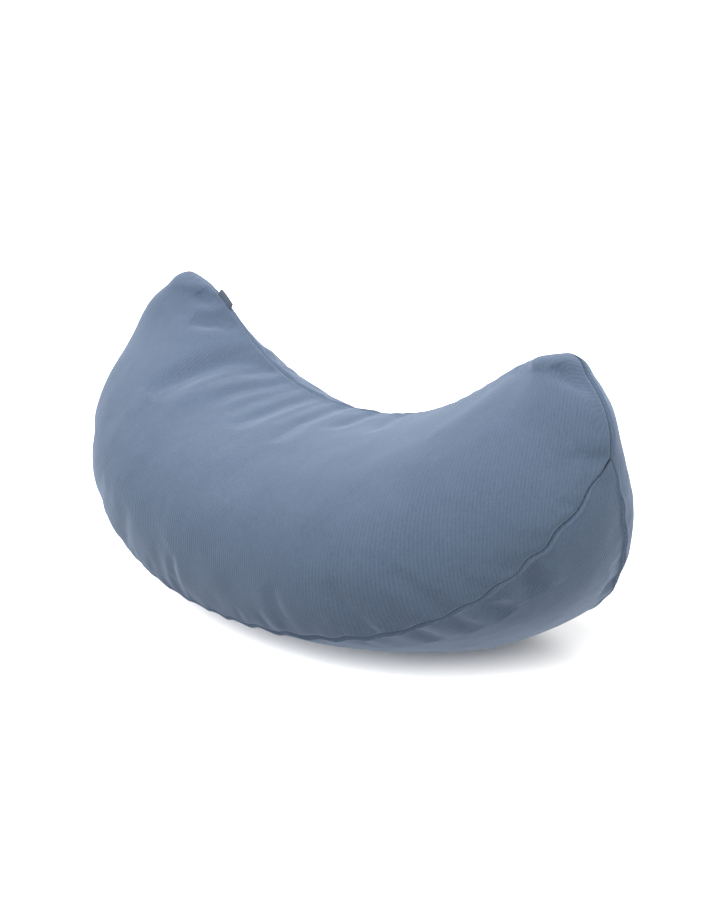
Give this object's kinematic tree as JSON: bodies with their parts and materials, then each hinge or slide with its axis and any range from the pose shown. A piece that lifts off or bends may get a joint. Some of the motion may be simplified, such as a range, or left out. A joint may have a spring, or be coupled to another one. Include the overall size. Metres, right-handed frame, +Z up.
{
  "type": "lumbar support cushion",
  "caption": "Crescent-shaped bead-filled lumbar cushion in slate blue ribbed fabric, standing on a pointed base gusset with its horns up, with a zipped removable cover.",
  "frame": {"origin": "on the floor under the middle of the cushion's box", "axes": "+X from horn to horn, +Y towards the back, +Z up; the pictured front panel faces -Y"},
  "size_m": [0.4364, 0.207, 0.1982],
  "materials": {
    "cover": "fine ribbed knit, matt with a soft sheen",
    "label": "woven ribbon",
    "zip_cloth": "woven tape",
    "zip_coil": "satin",
    "zip_metal": "painted dark grey, satin",
    "liner": "plain weave",
    "beads": "expanded beads"
  },
  "bodies": {
    "cushion": {"cover_front_panel": "cover", "cover_back_panel": "cover", "cover_base_gusset": "cover", "side_label": "label", "zip_tape_upper": "zip_cloth", "zip_tape_lower": "zip_cloth", "zip_coil_upper": "zip_coil", "zip_coil_lower": "zip_coil", "zip_top_stop_upper": "zip_metal", "zip_top_stop_lower": "zip_metal", "zip_bottom_stop": "zip_metal", "liner_front_panel": "liner", "liner_back_panel": "liner", "liner_base_gusset": "liner", "bead_fill": "beads"},
    "slider": {"zip_slider": "zip_metal"},
    "pull_tab": {"zip_pull_tab": "zip_metal"}
  },
  "joints": [
    {"name": "zip_run", "type": "hinge", "parent": "cushion", "child": "slider", "pos_m": [0, -0.09635, 0.37207], "axis": [0, 0.8985, 0.439], "range_deg": [0, 21.4]},
    {"name": "pull_tab_swing", "type": "hinge", "parent": "slider", "child": "pull_tab", "pos_m": [0.07735, 0.08098, 0.00929], "axis": [-0.013, 0.8665, 0.499], "range_deg": [-30, 140]}
  ]
}
